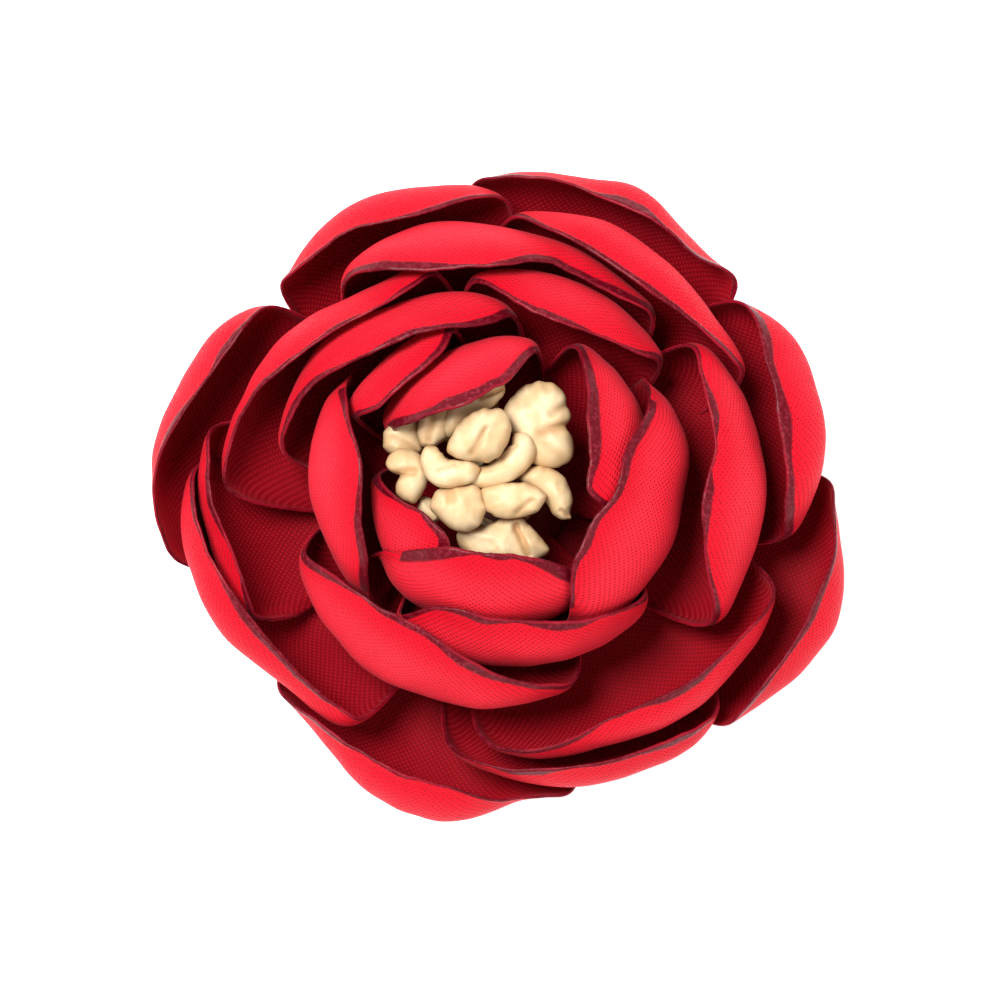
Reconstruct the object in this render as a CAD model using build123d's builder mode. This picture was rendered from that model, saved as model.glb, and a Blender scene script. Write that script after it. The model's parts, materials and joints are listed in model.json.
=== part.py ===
from build123d import *
import math
import os

import numpy as np

os.makedirs("parts", exist_ok=True)

# A fabric flower on a sprung hair clip, in millimetres. The origin is the middle of the
# felt backing's lower face, +Z points out through the flower, and the clip lies along X.

# Flower
cupHeight = 12.0            # height of the point that all the petals wrap around
clothThickness = 0.42
layerPitch = 0.80           # from one petal to the next one out
innerFoot = 10.2            # underside of the innermost petal's bowl
outerFoot = 2.9             # underside of the outermost petal's bowl, just off the felt
footReach = 4.5             # how close to the axis the petals' lower ends come
ribCount = 13
ribPoints = 8
sideLevel = -24.0           # lowest elevation where a petal's side edges round off
sideHeight = 16.0           # how far that is, at least, above the petal's foot, in degrees
sideSquareness = 9          # higher keeps the rim level further towards the side edges
petalMargin = 12.0          # how far past its side edges a petal pushes its neighbours
edgeMargin = 10.0           # and how far past its rim, both in degrees

# Stamens
stalkRadius = 0.25
bundleShrink = 0.25         # how far the stalks' feet draw in towards the axis
bundleFoot = 8.5
bindingHeight = 11.4
bindingRadius = 3.4
bindingThread = 0.5
bindingTurns = 3

# Backing
feltRadius = 15.0
feltThickness = 1.5
feltEdge = 0.4
glueFoot = 9.5              # radius of the glue on the felt
glueTop = 11.2
glueTopRadius = 3.4
glueShoulders = [(8.9, 4.6), (6.8, 8.8)]
glueFilm = 0.3
glueMargin = 3.0            # felt left clear past the two ends of the clip's glue
tabLength = 10.0
tabWidth = 22.0
tabThickness = 0.9
tabSlack = 0.3              # how far the strip stands off the plate's long edges
tabStart = -1.0

# Clip
hingeX = -8.0
hingeZ = -4.6
clipLength = 46.0
plateWidth = 8.0
steel = 0.6
plateCorner = 3.4
leverWidth = 6.2
leverCorner = 2.2
pinRadius = 0.8
pinClearance = 0.06
earLength = 7.0
earDepth = 4.0
lugLength = 4.0
springWire = 0.55
springRadius = 1.75
springTurns = 3.405
springPitch = 0.62
springLeg = 9.2
springStart = 80.2          # bearing round the pin where the upper leg leaves the coil
jawFloor = -7.4             # lowest stretch of the moving jaw's arch
jawPath = [(22.4, -1.9), (19.2, -2.6), (13.8, -6.2), (10.0, jawFloor), (-5.5, jawFloor),
           (-22.8, -13.2)]
jawBends = [1.5, 3.0, 3.0, 4.0]
jawGap = 0.15
toothPitch = 2.0
toothStart = 19.8
toothLength = 1.6
toothFoot = -1.8
rivetHead = 1.4
rivetDepth = 0.5

plateTop = -glueFilm
plateBottom = plateTop - steel
tabBottom = plateBottom - tabThickness


def finish(part, name):
    part.label = name
    export_step(part, f"parts/{name}.step")


def direction(bearing):
    angle = math.radians(bearing)
    return math.cos(angle), math.sin(angle)


def rib_plane(bearing):
    """The upright half plane at a bearing: local x runs outwards, local y runs up."""
    x, y = direction(bearing)
    return Plane(origin=(0, 0, cupHeight), x_dir=(x, y, 0), z_dir=(y, -x, 0))


# Petals, from the innermost to the outermost. Each wraps a rounded bowl: "rim" is its upper
# edge and "bowl" the widest line of its outside, both as (bearing in degrees, radius in mm)
# seen from above. "belly" is the height of that widest line, and "crown" the height that
# the bowl would close at. The bowls' undersides drop evenly from the first to the last.
# "side", where given, is the elevation in degrees that the side edges round off to.
petals = {
    "bud_petal_core": dict(
        rim=[(166, 10.6), (184, 8.7), (194, 6.8), (205, 6.1), (220, 5.5), (240, 5.6)],
        bowl=[(166, 10.9), (240, 10.9)], belly=18.5, crown=26.5),
    "bud_petal_upper": dict(
        rim=[(158, 11), (137, 8.6), (120, 7.9), (100, 8.3), (85, 9.1), (76, 11.4), (67, 13.2)],
        bowl=[(158, 11.8), (120, 12.6), (90, 13.3), (67, 13.4)], belly=17.5, crown=27.5),
    "bud_petal_lower": dict(
        rim=[(207, 10.6), (214, 7.8), (226, 6), (245, 5.4), (268, 5.2), (288, 5.8), (307, 6.6),
             (318, 8)],
        bowl=[(207, 11.6), (250, 11.8), (318, 11.6)], belly=17.5, crown=27.5, side=32),
    "bud_petal_right": dict(
        rim=[(71, 14.2), (60, 12.9), (46, 10.3), (33, 8.5), (18, 7.6), (0, 6.9), (-18, 7.3)],
        bowl=[(71, 14.6), (50, 14.2), (31, 13.7), (0, 12.9), (-18, 12.6)],
        belly=17, crown=27),
    "bud_petal_outer_upper": dict(
        rim=[(158, 13), (148, 12.1), (134, 11.8), (120, 11.8), (110, 12.5), (101, 13.6)],
        bowl=[(158, 14.6), (130, 15), (101, 15)], belly=16.5, crown=27),
    "bud_petal_left": dict(
        rim=[(142, 16.2), (152, 13.9), (164, 12), (176, 11.3), (188, 11.3), (200, 11.6),
             (210, 12.5), (222, 14.2)],
        bowl=[(142, 16.6), (158, 16.8), (180, 16), (203, 15.2), (222, 15)],
        belly=16.5, crown=26.5, side=10),
    "bud_petal_outer_right": dict(
        rim=[(38, 16.2), (30, 13.7), (20, 11), (7, 9.5), (-7, 8.6), (-24, 7.8), (-44, 8),
             (-57, 9.1), (-66, 11.2)],
        bowl=[(38, 16.4), (16, 16.3), (-5, 15.4), (-30, 14.8), (-66, 14)],
        belly=16.5, crown=26.5, side=5),
    "inner_petal_upper_left": dict(
        rim=[(180, 16.8), (166, 19), (152, 18.1), (140, 16.3), (124, 14.8), (108, 13.7),
             (93, 13.7), (76, 14.4)],
        bowl=[(180, 18.8), (160, 19.8), (140, 19.4), (123, 18.5), (101, 16.9), (76, 15)],
        belly=15.5, crown=26),
    "bud_petal_outer_lower": dict(
        rim=[(224, 13.8), (233, 11.2), (243, 10.4), (260, 9.9), (279, 10.6), (300, 12.6),
             (318, 14.2), (333, 16)],
        bowl=[(224, 14.8), (267, 14.8), (294, 15.6), (333, 16.4)],
        belly=16, crown=26),
    "inner_petal_top": dict(
        rim=[(105, 18), (93, 16.6), (81, 15.1), (72, 14.7), (60, 15), (46, 15.8), (31, 18)],
        bowl=[(105, 18.5), (80, 18.9), (57, 18.2), (31, 18.2)],
        belly=15.5, crown=25.5),
    "inner_petal_lower_left": dict(
        rim=[(187, 18.8), (200, 16.4), (212, 14.5), (225, 13.3), (241, 13.4), (257, 14),
             (272, 15.5), (287, 16.5), (302, 17.6)],
        bowl=[(187, 19), (210, 18.7), (241, 18.9), (262, 18.8), (285, 17.8), (302, 17.8)],
        belly=15, crown=25.5),
    "middle_petal_upper_left": dict(
        rim=[(189, 22.6), (181, 23.1), (173, 23.3), (161, 22.6), (150, 20.5), (139, 18.9),
             (127, 17.8), (112, 17.8), (99, 17.8)],
        bowl=[(189, 23.2), (173, 23.8), (149, 23), (135, 21.6), (121, 20.4), (99, 20)],
        belly=14.5, crown=24.5),
    "middle_petal_right": dict(
        rim=[(45, 19.6), (32, 19), (20, 18.2), (8, 17.7), (-3, 16.2), (-14, 17.2), (-26, 19.8),
             (-41, 21.5)],
        bowl=[(45, 20.8), (20, 22.4), (5, 22.8), (-18, 22), (-41, 21.8)],
        belly=14.5, crown=24.5),
    "middle_petal_top": dict(
        rim=[(136, 21.8), (125, 21.4), (112, 19.5), (100, 19), (91, 17.8), (80, 19.2),
             (66, 19), (53, 18.9), (41, 18.6)],
        bowl=[(136, 22.2), (119, 23.6), (98, 23.2), (79, 21.8), (60, 20.8), (41, 20.6)],
        belly=14, crown=24.5),
    "middle_petal_top_right": dict(
        rim=[(95, 23), (83, 22.3), (70, 21.2), (56, 20.4), (49, 20.2), (38, 21.2), (27, 21.6),
             (18, 22.8)],
        bowl=[(95, 23.4), (69, 24.5), (47, 24), (30, 23.4), (18, 23.2)],
        belly=13.5, crown=23.5),
    "middle_petal_lower_right": dict(
        rim=[(258, 20.6), (270, 21.8), (286, 21.6), (299, 20.4), (310, 21.9), (325, 23.3),
             (338, 24.6), (350, 23.6)],
        bowl=[(258, 21.2), (275, 23), (296, 24), (318, 25.2), (338, 25.4), (350, 24.2)],
        belly=13.5, crown=23.5),
    "middle_petal_left": dict(
        rim=[(164, 25.4), (175, 24.3), (183, 23.6), (193, 22.9), (204, 22.6), (212, 22.4)],
        bowl=[(164, 25.8), (193, 25), (212, 23.6)],
        belly=13, crown=22, side=-10),
    "outer_petal_lower_left_inner": dict(
        rim=[(169, 26.3), (180, 24.7), (192, 23.8), (203, 22.4), (216, 23), (230, 22.4),
             (245, 20.4)],
        bowl=[(169, 26.8), (193, 27.4), (206, 26.8), (220, 24.8), (245, 23.6)],
        belly=12.5, crown=21.5),
    "outer_petal_upper_left": dict(
        rim=[(135, 23.8), (150, 25), (165, 27.2), (178, 29.2), (188, 29.3), (199, 27)],
        bowl=[(135, 24.4), (150, 27.8), (162, 29.4), (175, 30.4), (188, 30), (199, 27.4)],
        belly=11.5, crown=20.5),
    "outer_petal_right": dict(
        rim=[(45, 25.2), (35, 25.8), (26, 24.9), (14, 23.4), (0, 23.3), (-15, 23)],
        bowl=[(45, 25.6), (29, 28), (19, 28.7), (4, 27.6), (-15, 24.6)],
        belly=12, crown=20.5),
    "outer_petal_bottom": dict(
        rim=[(253, 21.9), (270, 21.8), (285, 22.1), (299, 23.9), (312, 25.4), (322, 26.4)],
        bowl=[(253, 22.4), (274, 24.6), (290, 26.6), (306, 27.4), (322, 26.8)],
        belly=11.5, crown=20),
    "outer_petal_top_left": dict(
        rim=[(142, 24.2), (130, 25.2), (117, 24.8), (104, 23.7), (92, 23.8), (83, 24.2)],
        bowl=[(142, 24.8), (126, 27.3), (113, 27.6), (99, 26), (83, 25)],
        belly=11.5, crown=20),
    "outer_petal_lower_right": dict(
        rim=[(7, 27), (-3, 28.7), (-14, 28.4), (-24, 27.7), (-37, 27), (-52, 26.6)],
        bowl=[(7, 27.6), (-5, 29.8), (-20, 31.4), (-34, 30), (-52, 27.2)],
        belly=11, crown=19.5),
    "outer_petal_lower_left": dict(
        rim=[(215, 24.4), (229, 24.9), (245, 24.1), (258, 24.9), (272, 26.2), (290, 26)],
        bowl=[(215, 24.8), (236, 26.6), (250, 28.6), (262, 28.8), (274, 26.8), (290, 26.4)],
        belly=11, crown=19.5),
    "outer_petal_top_right": dict(
        rim=[(101, 25.2), (86, 26.6), (70, 26.2), (57, 24.8), (47, 26.2), (35, 25.8)],
        bowl=[(101, 25.6), (86, 27.4), (68, 28.5), (54, 27.4), (35, 26.2)],
        belly=11, crown=19.5),
}

# The petals' spacing is worked out on one map of directions seen from the cup's centre.
mapBearings = np.arange(0, 360, 3)
mapLevels = np.arange(-80, 84, 4)


def readings(points, bearings):
    """Radius along an edge at the given bearings, smooth between the named points."""
    ordered = sorted(points)
    known = [point[0] for point in ordered]
    values = [point[1] for point in ordered]
    centre = (known[0] + known[-1]) / 2
    turned = (np.asarray(bearings, float) - centre + 180) % 360 - 180 + centre
    return np.interp(turned, known, values)


def span(petal):
    ends = [point[0] for point in petal["rim"]]
    return min(ends), max(ends)


def foot_height(name):
    share = list(petals).index(name) / (len(petals) - 1)
    return innerFoot + (outerFoot - innerFoot) * share


def bowl_profile(petal, foot, radius):
    """Elevation and distance, from the cup's centre, along a bowl of the given radius."""
    turns = np.radians(np.linspace(-88, 88, 89))
    depth = petal["belly"] - foot
    height = petal["crown"] - petal["belly"]
    across = radius * np.cos(turns)
    up = petal["belly"] - cupHeight + np.where(turns < 0, depth, height) * np.sin(turns)
    return np.degrees(np.arctan2(up, across)), np.hypot(across, up)


def own_distance(name):
    """A petal's distance from the cup's centre for each direction on the map."""
    petal = petals[name]
    rows = []
    for radius in readings(petal["bowl"], mapBearings):
        levels, distances = bowl_profile(petal, foot_height(name), radius - clothThickness / 2)
        rows.append(np.interp(mapLevels, levels, distances))
    return np.array(rows)


def rim_level(name, bearings):
    """Elevation of the rim, rounded off towards the petal's side edges."""
    petal = petals[name]
    first, last = span(petal)
    foot = math.degrees(math.atan2(foot_height(name) - cupHeight, footReach))
    side = petal.get("side", max(sideLevel, foot + sideHeight))
    levels = []
    for bearing in bearings:
        radius = float(readings(petal["bowl"], [bearing])[0])
        edge = float(readings(petal["rim"], [bearing])[0])
        turn = math.acos(min(0.999, edge / radius))
        up = petal["belly"] - cupHeight + (petal["crown"] - petal["belly"]) * math.sin(turn)
        top = math.degrees(math.atan2(up, edge))
        across = abs(2 * (bearing - first) / (last - first) - 1)
        fullness = math.sqrt(max(0.0, 1 - min(across, 1.0) ** sideSquareness))
        levels.append(side + (top - side) * fullness)
    return np.array(levels)


def grown(field, bearingSteps, levelSteps, pick):
    """Largest (or mean) value of the map within a window around each direction."""
    around = [np.roll(field, step, axis=0) for step in range(-bearingSteps, bearingSteps + 1)]
    wide = pick(np.array(around), axis=0)
    padded = np.pad(wide, ((0, 0), (levelSteps, levelSteps)), mode="edge")
    count = field.shape[1]
    return pick(np.array([padded[:, i:i + count] for i in range(2 * levelSteps + 1)]), axis=0)


def spaced_petals():
    """Each petal's distance map, pushed out so that it wraps over the petals inside it."""
    taken = np.zeros((len(mapBearings), len(mapLevels)))
    maps = {}
    for name, petal in petals.items():
        distance = own_distance(name)
        clear = grown(grown(taken, 1, 1, np.max), 1, 1, np.mean)
        distance = np.maximum(distance, clear)
        maps[name] = distance
        first, last = span(petal)
        middle = (first + last) / 2
        offset = np.abs((mapBearings - middle + 180) % 360 - 180)
        near = offset <= (last - first) / 2 + petalMargin
        turned = (mapBearings[near] - middle + 180) % 360 - 180 + middle
        tops = rim_level(name, np.clip(turned, first, last))
        for row, top in zip(np.where(near)[0], tops):
            covered = mapLevels <= top + edgeMargin
            taken[row, covered] = np.maximum(taken[row, covered],
                                             distance[row, covered] + layerPitch)
    return maps


def map_distance(field, bearing, levels):
    step = mapBearings[1] - mapBearings[0]
    place = (bearing % 360) / step
    low = int(place) % len(mapBearings)
    share = place - int(place)
    row = field[low] * (1 - share) + field[(low + 1) % len(mapBearings)] * share
    return np.interp(levels, mapLevels, row)


def foot_level(field, bearing):
    """Lowest elevation of a petal: where it has run in to the foot's radius."""
    levels = np.linspace(-78, -20, 59)
    distances = map_distance(field, bearing, levels)
    inward = distances * np.cos(np.radians(levels))
    return float(np.interp(footReach, inward, levels))


def rib(field, bearing, top, shift):
    """Points up one side of the cloth at a bearing, in that bearing's plane."""
    levels = np.linspace(foot_level(field, bearing), top, ribPoints)
    distances = map_distance(field, bearing, levels) + shift
    angles = np.radians(levels)
    return list(zip(distances * np.cos(angles), distances * np.sin(angles)))


def make_petal(name, field):
    first, last = span(petals[name])
    half = clothThickness / 2
    bearings = middle_spread(first, last)
    tops = rim_level(name, bearings)
    with BuildPart() as cloth:
        for bearing, top in zip(bearings, tops):
            outer = rib(field, bearing, top, half)
            inner = rib(field, bearing, top, -half)
            with BuildSketch(rib_plane(bearing)):
                with BuildLine():
                    Spline(*outer)
                    Line(outer[-1], inner[-1])
                    Spline(*reversed(inner))
                    Line(inner[0], outer[0])
                make_face()
        loft(ruled=True)
    finish(cloth.part, name)


def middle_spread(first, last):
    """Rib bearings, closer together near the rounded ends."""
    turns = np.linspace(0, math.pi, ribCount)
    even = np.linspace(0, 1, ribCount)
    shares = 0.5 * (0.5 * (1 - np.cos(turns))) + 0.5 * even
    return first + (last - first) * shares


# Stamen heads in the well: middle, length, thickness, turn about the vertical, and lean.
stamens = {
    "stamen_head_01": ((3.4, 5.4, 20.8), 6.6, 5.2, 65, 10),
    "stamen_head_02": ((-0.4, 8.1, 20.2), 4.4, 2.8, 160, 20),
    "stamen_head_03": ((-1.4, 4.7, 24.2), 5.4, 3.7, 40, 15),
    "stamen_head_04": ((-5.3, 5.1, 21.4), 4.0, 3.5, 100, 30),
    "stamen_head_05": ((-7.6, 4.2, 18.3), 4.0, 3.2, 120, 40),
    "stamen_head_06": ((-7.4, 1.2, 20.5), 4.3, 3.4, 85, 10),
    "stamen_head_07": ((-3.8, 1.9, 22.3), 4.2, 3.3, 120, 10),
    "stamen_head_08": ((0.8, 2.0, 19.5), 4.4, 3.0, 30, 10),
    "stamen_head_09": ((-3.5, -1.6, 23.6), 4.3, 4.1, 0, 0),
    "stamen_head_10": ((1.3, -0.8, 22.8), 5.0, 3.1, -5, 10),
    "stamen_head_11": ((4.5, -0.3, 20.2), 4.8, 2.9, -55, 10),
    "stamen_head_12": ((0.3, -4.2, 20.3), 4.8, 3.8, 5, 0),
    "stamen_head_13": ((-6.1, -1.7, 19.4), 3.8, 3.1, 60, 20),
}


def make_stamen_head(name, middle, length, thickness, turn, lean):
    """A clove-shaped bead, blunt at one end and drawn out at the other."""
    half = length / 2
    radius = thickness / 2
    place = Location(middle, (0, 90 - lean, turn))
    with BuildPart() as bead:
        with BuildSketch(Plane.XZ):
            with BuildLine():
                Spline((0, -half), (radius * 0.85, -half * 0.45), (radius, half * 0.1),
                       (radius * 0.55, half * 0.75), (0, half), tangents=[(1, 0), (-0.8, 0.6)])
                Line((0, half), (0, -half))
            make_face()
        revolve(axis=Axis.Z)
    finish(bead.part.moved(place), name)


def make_stalks():
    """One thin thread under each head, drawn together into a bundle."""
    with BuildPart() as stalks:
        for middle, length, thickness, turn, lean in stamens.values():
            foot = Vector(middle[0] * bundleShrink, middle[1] * bundleShrink, bundleFoot)
            head = Vector(*middle) - Vector(0, 0, thickness * 0.4)
            with BuildSketch(Plane(origin=foot, z_dir=head - foot)):
                Circle(stalkRadius)
            extrude(amount=(head - foot).length)
    finish(stalks.part, "stamen_stalks")


def make_binding():
    """Turns of thread round the bundle, drawn as a ribbed collar."""
    middle = bindingRadius - bindingThread / 2
    height = bindingTurns * bindingThread
    with BuildPart() as collar:
        with BuildSketch(Plane.XZ):
            with Locations((bindingRadius - bindingThread, bindingHeight + height / 2)):
                Rectangle(bindingThread, height)
            for step in range(bindingTurns):
                with Locations((middle, bindingHeight + (step + 0.5) * bindingThread)):
                    Circle(bindingThread / 2)
        revolve(axis=Axis.Z)
    finish(collar.part, "binding_thread")


def make_glue_core():
    """Set glue that holds the petals' feet and the stalks on the felt."""
    with BuildPart() as core:
        with BuildSketch(Plane.XZ):
            with BuildLine():
                Line((0, feltThickness), (glueFoot, feltThickness))
                Spline((glueFoot, feltThickness), *glueShoulders, (glueTopRadius, glueTop))
                Line((glueTopRadius, glueTop), (0, glueTop))
                Line((0, glueTop), (0, feltThickness))
            make_face()
        revolve(axis=Axis.Z)
    finish(core.part, "glue_core")


def make_felt():
    with BuildPart() as disc:
        with BuildSketch(Plane.XY):
            Circle(feltRadius)
        extrude(amount=feltThickness)
        fillet(disc.edges().group_by(Axis.Z)[0], feltEdge)
    finish(disc.part, "felt_backing")


def make_tab():
    """Felt strip glued down over the clip's plate, stepped round its section."""
    rise = tabThickness * 0.9
    wide = plateWidth / 2 + tabSlack
    over = wide + 0.4 * tabThickness
    flat = tabWidth / 2
    with BuildPart() as strip:
        with BuildSketch(Plane.YZ.offset(tabStart)):
            with BuildLine():
                Polyline((-flat, 0), (-wide - rise, 0), (-wide, plateBottom), (wide, plateBottom),
                         (wide + rise, 0), (flat, 0), (flat, -tabThickness),
                         (over + rise, -tabThickness), (over, tabBottom),
                         (-over, tabBottom), (-over - rise, -tabThickness),
                         (-flat, -tabThickness), close=True)
            make_face()
        extrude(amount=tabLength)
    finish(strip.part, "felt_strip")


def make_glue_bed():
    with BuildPart() as bed:
        with BuildSketch(Plane.XY.offset(-glueFilm)):
            RectangleRounded(2 * feltRadius - glueMargin, plateWidth - 1, 2)
        extrude(amount=glueFilm)
    finish(bed.part, "clip_glue")


def make_fixed_jaw():
    """The plate glued to the felt, with two lugs folded down for the hinge pin."""
    with BuildPart() as jaw:
        with BuildSketch(Plane.XY.offset(plateBottom)):
            RectangleRounded(clipLength, plateWidth, plateCorner)
        extrude(amount=steel)
        for side in (-1, 1):
            inner = side * (plateWidth / 2 - steel)
            with BuildSketch(Plane.XZ.offset(-inner)):
                with Locations((hingeX, (plateTop + hingeZ) / 2)):
                    Rectangle(earLength, plateTop - hingeZ)
                with Locations((hingeX, hingeZ)):
                    SlotCenterToCenter(earLength - earDepth, earDepth)
            extrude(amount=-side * steel)
        with BuildSketch(Plane.XZ.offset(-plateWidth)):
            with Locations((hingeX, hingeZ)):
                Circle(pinRadius)
        extrude(amount=2 * plateWidth, mode=Mode.SUBTRACT)
    finish(jaw.part, "fixed_jaw")


def tooth_edge():
    """Zigzag across the jaw's tip: three points that close on the plate."""
    points = [(-1.5 * toothPitch, toothFoot)]
    for step in (-1, 0, 1):
        points.append((step * toothPitch, plateBottom - jawGap))
        points.append(((step + 0.5) * toothPitch, toothFoot))
    points.append((1.5 * toothPitch, toothFoot - steel / 2))
    points.append((-1.5 * toothPitch, toothFoot - steel / 2))
    return points


def make_moving_jaw():
    """Arched strip with a toothed tip, a thumb lever and two lugs inside the fixed ones."""
    half = leverWidth / 2
    with BuildPart() as jaw:
        with BuildSketch(Plane.XZ.offset(-half)):
            with BuildLine():
                FilletPolyline(*jawPath, radius=jawBends)
                offset(amount=steel / 2, side=Side.BOTH)
            make_face()
        extrude(amount=leverWidth)
        for side in (-1, 1):
            with BuildSketch(Plane.XZ.offset(-side * half)):
                with Locations((hingeX, (hingeZ + jawFloor) / 2)):
                    Rectangle(lugLength, hingeZ - jawFloor)
                with Locations((hingeX, hingeZ)):
                    Circle(lugLength / 2)
            extrude(amount=side * steel)
        with BuildSketch(Plane.XZ.offset(-plateWidth)):
            with Locations((hingeX, hingeZ)):
                Circle(pinRadius + pinClearance)
        extrude(amount=2 * plateWidth, mode=Mode.SUBTRACT)
        with BuildSketch(Plane.YZ.offset(toothStart)):
            with BuildLine():
                Polyline(*tooth_edge(), close=True)
            make_face()
        extrude(amount=toothLength)
        with BuildSketch(Plane.XY):
            with Locations((jawPath[-1][0] + clipLength, 0)):
                RectangleRounded(2 * clipLength, leverWidth, leverCorner)
        extrude(amount=clipLength, both=True, mode=Mode.INTERSECT)
    finish(jaw.part, "moving_jaw")


def make_pin():
    """Hinge rivet with a flat head outside each fixed lug."""
    half = plateWidth / 2
    with BuildPart() as pin:
        with BuildSketch(Plane.XZ.offset(-half)):
            with Locations((hingeX, hingeZ)):
                Circle(pinRadius)
        extrude(amount=plateWidth)
        for side in (-1, 1):
            with BuildSketch(Plane.XZ.offset(side * half)):
                with Locations((hingeX, hingeZ)):
                    Circle(rivetHead)
            extrude(amount=side * rivetDepth)
    finish(pin.part, "hinge_pin")


def make_spring():
    """Coil round the pin with straight legs, wound about its own z axis and then laid over."""
    angle = math.radians(springStart)
    height = springTurns * springPitch
    lay = Plane(origin=(hingeX, -height / 2, hingeZ),
                x_dir=(math.cos(angle), 0, math.sin(angle)), z_dir=(0, 1, 0))
    with BuildPart() as spring:
        with BuildLine() as coil:
            Helix(springPitch, height, springRadius)
        with BuildSketch(Plane(origin=coil.line @ 0, z_dir=coil.line % 0)):
            Circle(springWire / 2)
        sweep(path=coil.line, is_frenet=True)
        for end, away in ((0, -1), (1, 1)):
            with BuildSketch(Plane(origin=coil.line @ end, z_dir=(coil.line % end) * away)):
                Circle(springWire / 2)
            extrude(amount=springLeg)
    finish(spring.part.moved(lay.location), "torsion_spring")


distances = spaced_petals()
for petalName, petalDistances in distances.items():
    make_petal(petalName, petalDistances)
for stamenName, stamen in stamens.items():
    make_stamen_head(stamenName, *stamen)
make_stalks()
make_binding()
make_glue_core()
make_felt()
make_tab()
make_glue_bed()
make_fixed_jaw()
make_moving_jaw()
make_pin()
make_spring()
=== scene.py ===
import json
import math

import bpy
import numpy as np
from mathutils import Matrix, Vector
from mathutils.bvhtree import BVHTree


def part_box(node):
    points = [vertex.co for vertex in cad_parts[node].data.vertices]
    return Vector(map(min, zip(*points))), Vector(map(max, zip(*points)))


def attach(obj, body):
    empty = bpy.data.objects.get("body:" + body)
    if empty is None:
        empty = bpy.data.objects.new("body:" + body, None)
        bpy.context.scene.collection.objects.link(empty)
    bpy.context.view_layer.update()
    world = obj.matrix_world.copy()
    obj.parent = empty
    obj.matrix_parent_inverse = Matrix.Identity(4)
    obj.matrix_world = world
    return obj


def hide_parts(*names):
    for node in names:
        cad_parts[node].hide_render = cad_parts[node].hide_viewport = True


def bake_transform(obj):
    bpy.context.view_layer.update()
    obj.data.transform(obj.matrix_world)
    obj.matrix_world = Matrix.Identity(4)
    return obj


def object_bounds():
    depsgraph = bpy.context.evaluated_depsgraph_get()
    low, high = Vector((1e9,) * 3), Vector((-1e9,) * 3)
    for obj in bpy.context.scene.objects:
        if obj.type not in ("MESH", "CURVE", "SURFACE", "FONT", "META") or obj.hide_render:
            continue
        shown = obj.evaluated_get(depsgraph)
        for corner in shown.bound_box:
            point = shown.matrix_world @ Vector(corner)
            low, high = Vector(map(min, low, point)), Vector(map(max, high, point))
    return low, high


# A red fabric flower with cream stamens on a sprung hair clip, in metres.
# The petals are made again as thin singed cloth over the frame's own petal bowls.

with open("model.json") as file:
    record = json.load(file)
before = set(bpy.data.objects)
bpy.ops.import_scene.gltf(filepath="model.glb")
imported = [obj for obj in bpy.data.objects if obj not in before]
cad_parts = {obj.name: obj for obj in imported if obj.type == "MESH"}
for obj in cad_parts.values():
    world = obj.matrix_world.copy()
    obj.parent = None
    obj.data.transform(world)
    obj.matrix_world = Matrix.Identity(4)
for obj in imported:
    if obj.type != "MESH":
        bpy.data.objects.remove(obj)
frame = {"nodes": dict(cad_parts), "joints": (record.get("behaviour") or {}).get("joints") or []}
boxLow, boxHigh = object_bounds()
nodes = frame["nodes"]

mm = 0.001
flowerBody = "flower_and_plate"

petalNames = sorted(name for name in nodes if "petal" in name)


class Wave:
    # A few random plane waves of about one length, summed to about unit height.
    def __init__(self, seed, length, count=5, spread=0.35):
        random = np.random.default_rng(seed)
        turns = random.uniform(0, math.pi, count)
        lengths = length * random.uniform(1 - spread, 1 + spread, count)
        self.x = np.cos(turns) * 2 * math.pi / lengths
        self.y = np.sin(turns) * 2 * math.pi / lengths
        self.phase = random.uniform(0, 2 * math.pi, count)
        self.scale = math.sqrt(2 / count)

    def at(self, x, y):
        total = 0
        for kx, ky, phase in zip(self.x, self.y, self.phase):
            total = total + np.sin(kx * x + ky * y + phase)
        return total * self.scale


def smoothStep(low, high, value):
    t = np.clip((value - low) / (high - low), 0, 1)
    return t * t * (3 - 2 * t)


def blurred(values, passes, axis=0):
    values = np.moveaxis(np.array(values, float), axis, 0)
    for _ in range(passes):
        padded = np.concatenate([values[:1], values, values[-1:]])
        values = (padded[:-2] + 2 * padded[1:-1] + padded[2:]) / 4
    return np.moveaxis(values, 0, axis)


def newMesh(name, points, faces, smooth=True):
    mesh = bpy.data.meshes.new(name)
    mesh.from_pydata([tuple(p) for p in points], [], [tuple(int(i) for i in f) for f in faces])
    mesh.update()
    if smooth:
        mesh.polygons.foreach_set("use_smooth", [True] * len(mesh.polygons))
    piece = bpy.data.objects.new(name, mesh)
    bpy.context.scene.collection.objects.link(piece)
    return piece


def addNumbers(piece, name, values):
    layer = piece.data.attributes.new(name, "FLOAT", "POINT")
    layer.data.foreach_set("value", np.asarray(values, np.float32).ravel())


def gridFaces(columns, rows, offset=0, flip=False):
    index = offset + np.arange(columns * rows).reshape(columns, rows)
    a, b = index[:-1, :-1].ravel(), index[1:, :-1].ravel()
    c, d = index[1:, 1:].ravel(), index[:-1, 1:].ravel()
    order = (a, d, c, b) if flip else (a, b, c, d)
    return np.stack(order, axis=1)


def normals(points):
    du = np.gradient(points, axis=0)
    dv = np.gradient(points, axis=1)
    n = np.cross(du, dv)
    return n / np.maximum(np.linalg.norm(n, axis=-1, keepdims=True), 1e-12)


def arcLengths(points, axis):
    steps = np.linalg.norm(np.diff(points, axis=axis), axis=-1)
    pad = [(0, 0), (0, 0)]
    pad[axis] = (1, 0)
    return np.pad(np.cumsum(steps, axis=axis), pad)


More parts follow.
